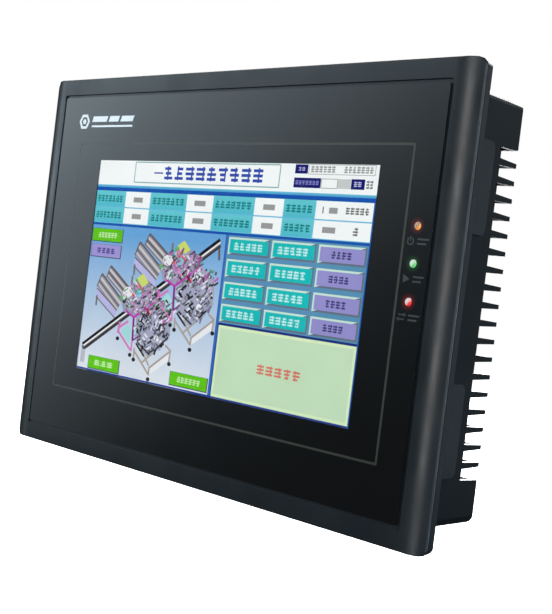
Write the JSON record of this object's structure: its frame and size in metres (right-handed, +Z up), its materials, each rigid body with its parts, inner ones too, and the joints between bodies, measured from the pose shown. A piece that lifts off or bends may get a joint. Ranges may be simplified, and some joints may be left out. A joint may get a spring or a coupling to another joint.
{
  "type": "hmi touch panel",
  "caption": "Panel-mount touch operator panel: rounded bezel with a framed colour display and status lights, shallow ribbed housing, ports underneath and screw clamps.",
  "frame": {"origin": "centre of the panel cut-out, in the plane of the control panel's front face, where the gasket's rear face seats", "axes": "+X to the operator's right, +Y rearwards through the cut-out, +Z up"},
  "size_m": [0.226, 0.0435, 0.1626],
  "materials": {
    "bezel_plastic": "fine moulded texture, satin",
    "housing_plastic": "fine moulded texture, matt",
    "overlay_film": "smooth printed film, glossy",
    "touch_glass": "clear",
    "lcd_glass": "lit picture behind clear glass",
    "diffuser_white": "matt white",
    "sheet_steel": "pressed sheet",
    "zinc_steel": "zinc plated",
    "nickel_shell": "nickel plated",
    "aluminium": "extruded",
    "board_green": "solder mask",
    "flex_amber": "polyimide film",
    "gasket_rubber": "matt moulded rubber",
    "port_black": "matt",
    "terminal_green": "satin moulded",
    "switch_red": "satin moulded",
    "button_white": "satin moulded",
    "lens_amber": "lit lens",
    "lens_green": "lit lens",
    "lens_red": "lit lens",
    "plate_silver": "satin label foil"
  },
  "bodies": {
    "panel": {"front_bezel": "bezel_plastic", "front_overlay": "overlay_film", "touch_sensor": "touch_glass", "touch_flex": "flex_amber", "lcd_flex": "flex_amber", "lcd_frame": "sheet_steel", "lcd_glass": "lcd_glass", "backlight_unit": "diffuser_white", "led_board": "board_green", "main_board": "board_green", "led_lens_power": "lens_amber", "led_lens_run": "lens_green", "led_lens_comm": "lens_red", "panel_gasket": "gasket_rubber", "rear_housing": "housing_plastic", "display_carrier": "zinc_steel", "board_screw_1": "zinc_steel", "board_screw_2": "zinc_steel", "board_screw_3": "zinc_steel", "board_screw_4": "zinc_steel", "housing_screw_1": "zinc_steel", "housing_screw_2": "zinc_steel", "housing_screw_3": "zinc_steel", "housing_screw_4": "zinc_steel", "cpu_heatsink": "aluminium", "buzzer": "port_black", "coin_cell_holder": "port_black", "serial_port_a_insert": "port_black", "serial_port_b_insert": "port_black", "reset_switch": "port_black", "coin_cell": "nickel_shell", "serial_port_a_shell": "nickel_shell", "serial_port_b_shell": "nickel_shell", "usb_host_port": "nickel_shell", "usb_device_port": "nickel_shell", "power_header": "terminal_green", "dip_switch_body": "switch_red", "clamp_bracket_1": "sheet_steel", "clamp_bracket_2": "sheet_steel", "clamp_bracket_3": "sheet_steel", "clamp_bracket_4": "sheet_steel", "rating_plate": "plate_silver"},
    "battery_cover": {"battery_cover": "housing_plastic"},
    "clamp_foot_1": {"clamp_foot_1": "port_black"},
    "clamp_foot_2": {"clamp_foot_2": "port_black"},
    "clamp_foot_3": {"clamp_foot_3": "port_black"},
    "clamp_foot_4": {"clamp_foot_4": "port_black"},
    "clamp_screw_1": {"clamp_screw_1": "zinc_steel"},
    "clamp_screw_2": {"clamp_screw_2": "zinc_steel"},
    "clamp_screw_3": {"clamp_screw_3": "zinc_steel"},
    "clamp_screw_4": {"clamp_screw_4": "zinc_steel"},
    "dip_slider_1": {"dip_slider_1": "button_white"},
    "dip_slider_2": {"dip_slider_2": "button_white"},
    "dip_slider_3": {"dip_slider_3": "button_white"},
    "dip_slider_4": {"dip_slider_4": "button_white"},
    "power_plug": {"power_plug": "terminal_green"},
    "reset_button": {"reset_button": "button_white"},
    "terminal_screw_1": {"terminal_screw_1": "zinc_steel"},
    "terminal_screw_2": {"terminal_screw_2": "zinc_steel"},
    "terminal_screw_3": {"terminal_screw_3": "zinc_steel"}
  },
  "joints": [
    {"name": "battery_cover_pull", "type": "slide", "parent": "panel", "child": "battery_cover", "axis": [0, 1, 0], "range_m": [0, 0.015]},
    {"name": "power_plug_pull", "type": "slide", "parent": "panel", "child": "power_plug", "axis": [0, 0, -1], "range_m": [0, 0.014]},
    {"name": "terminal_screw_1_turn", "type": "hinge", "parent": "power_plug", "child": "terminal_screw_1", "pos_m": [-0.06858, 0.0213, -0.0776], "axis": [0, 1, 0], "range_deg": [0, 1080]},
    {"name": "terminal_screw_2_turn", "type": "hinge", "parent": "power_plug", "child": "terminal_screw_2", "pos_m": [-0.0635, 0.0213, -0.0776], "axis": [0, 1, 0], "range_deg": [0, 1080]},
    {"name": "terminal_screw_3_turn", "type": "hinge", "parent": "power_plug", "child": "terminal_screw_3", "pos_m": [-0.05842, 0.0213, -0.0776], "axis": [0, 1, 0], "range_deg": [0, 1080]},
    {"name": "reset_button_press", "type": "slide", "parent": "panel", "child": "reset_button", "axis": [0, 0, 1], "range_m": [0, 0.0006], "stiffness_N_per_m": 400, "springref_m": -0.0015},
    {"name": "dip_slider_1_slide", "type": "slide", "parent": "panel", "child": "dip_slider_1", "axis": [0, 1, 0], "range_m": [0, 0.0016]},
    {"name": "dip_slider_2_slide", "type": "slide", "parent": "panel", "child": "dip_slider_2", "axis": [0, 1, 0], "range_m": [0, 0.0016]},
    {"name": "dip_slider_3_slide", "type": "slide", "parent": "panel", "child": "dip_slider_3", "axis": [0, 1, 0], "range_m": [0, 0.0016]},
    {"name": "dip_slider_4_slide", "type": "slide", "parent": "panel", "child": "dip_slider_4", "axis": [0, 1, 0], "range_m": [0, 0.0016]},
    {"name": "clamp_foot_1_travel", "type": "slide", "parent": "panel", "child": "clamp_foot_1", "axis": [0, -1, 0], "range_m": [-0.004, 0.005]},
    {"name": "clamp_screw_1_turn", "type": "hinge", "parent": "clamp_foot_1", "child": "clamp_screw_1", "pos_m": [0.082, 0.033, 0.0776], "axis": [0, -1, 0], "range_deg": [-2060, 2575]},
    {"name": "clamp_foot_2_travel", "type": "slide", "parent": "panel", "child": "clamp_foot_2", "axis": [0, -1, 0], "range_m": [-0.004, 0.005]},
    {"name": "clamp_screw_2_turn", "type": "hinge", "parent": "clamp_foot_2", "child": "clamp_screw_2", "pos_m": [0.082, 0.033, -0.0776], "axis": [0, -1, 0], "range_deg": [-2060, 2575]},
    {"name": "clamp_foot_3_travel", "type": "slide", "parent": "panel", "child": "clamp_foot_3", "axis": [0, -1, 0], "range_m": [-0.004, 0.005]},
    {"name": "clamp_screw_3_turn", "type": "hinge", "parent": "clamp_foot_3", "child": "clamp_screw_3", "pos_m": [-0.082, 0.033, 0.0776], "axis": [0, -1, 0], "range_deg": [-2060, 2575]},
    {"name": "clamp_foot_4_travel", "type": "slide", "parent": "panel", "child": "clamp_foot_4", "axis": [0, -1, 0], "range_m": [-0.004, 0.005]},
    {"name": "clamp_screw_4_turn", "type": "hinge", "parent": "clamp_foot_4", "child": "clamp_screw_4", "pos_m": [-0.082, 0.033, -0.0776], "axis": [0, -1, 0], "range_deg": [-2060, 2575]}
  ],
  "couplings": [
    {"joint": "clamp_screw_1_turn", "follows": "clamp_foot_1_travel", "rad_per_m": 8976},
    {"joint": "clamp_screw_2_turn", "follows": "clamp_foot_2_travel", "rad_per_m": 8976},
    {"joint": "clamp_screw_3_turn", "follows": "clamp_foot_3_travel", "rad_per_m": 8976},
    {"joint": "clamp_screw_4_turn", "follows": "clamp_foot_4_travel", "rad_per_m": 8976}
  ]
}
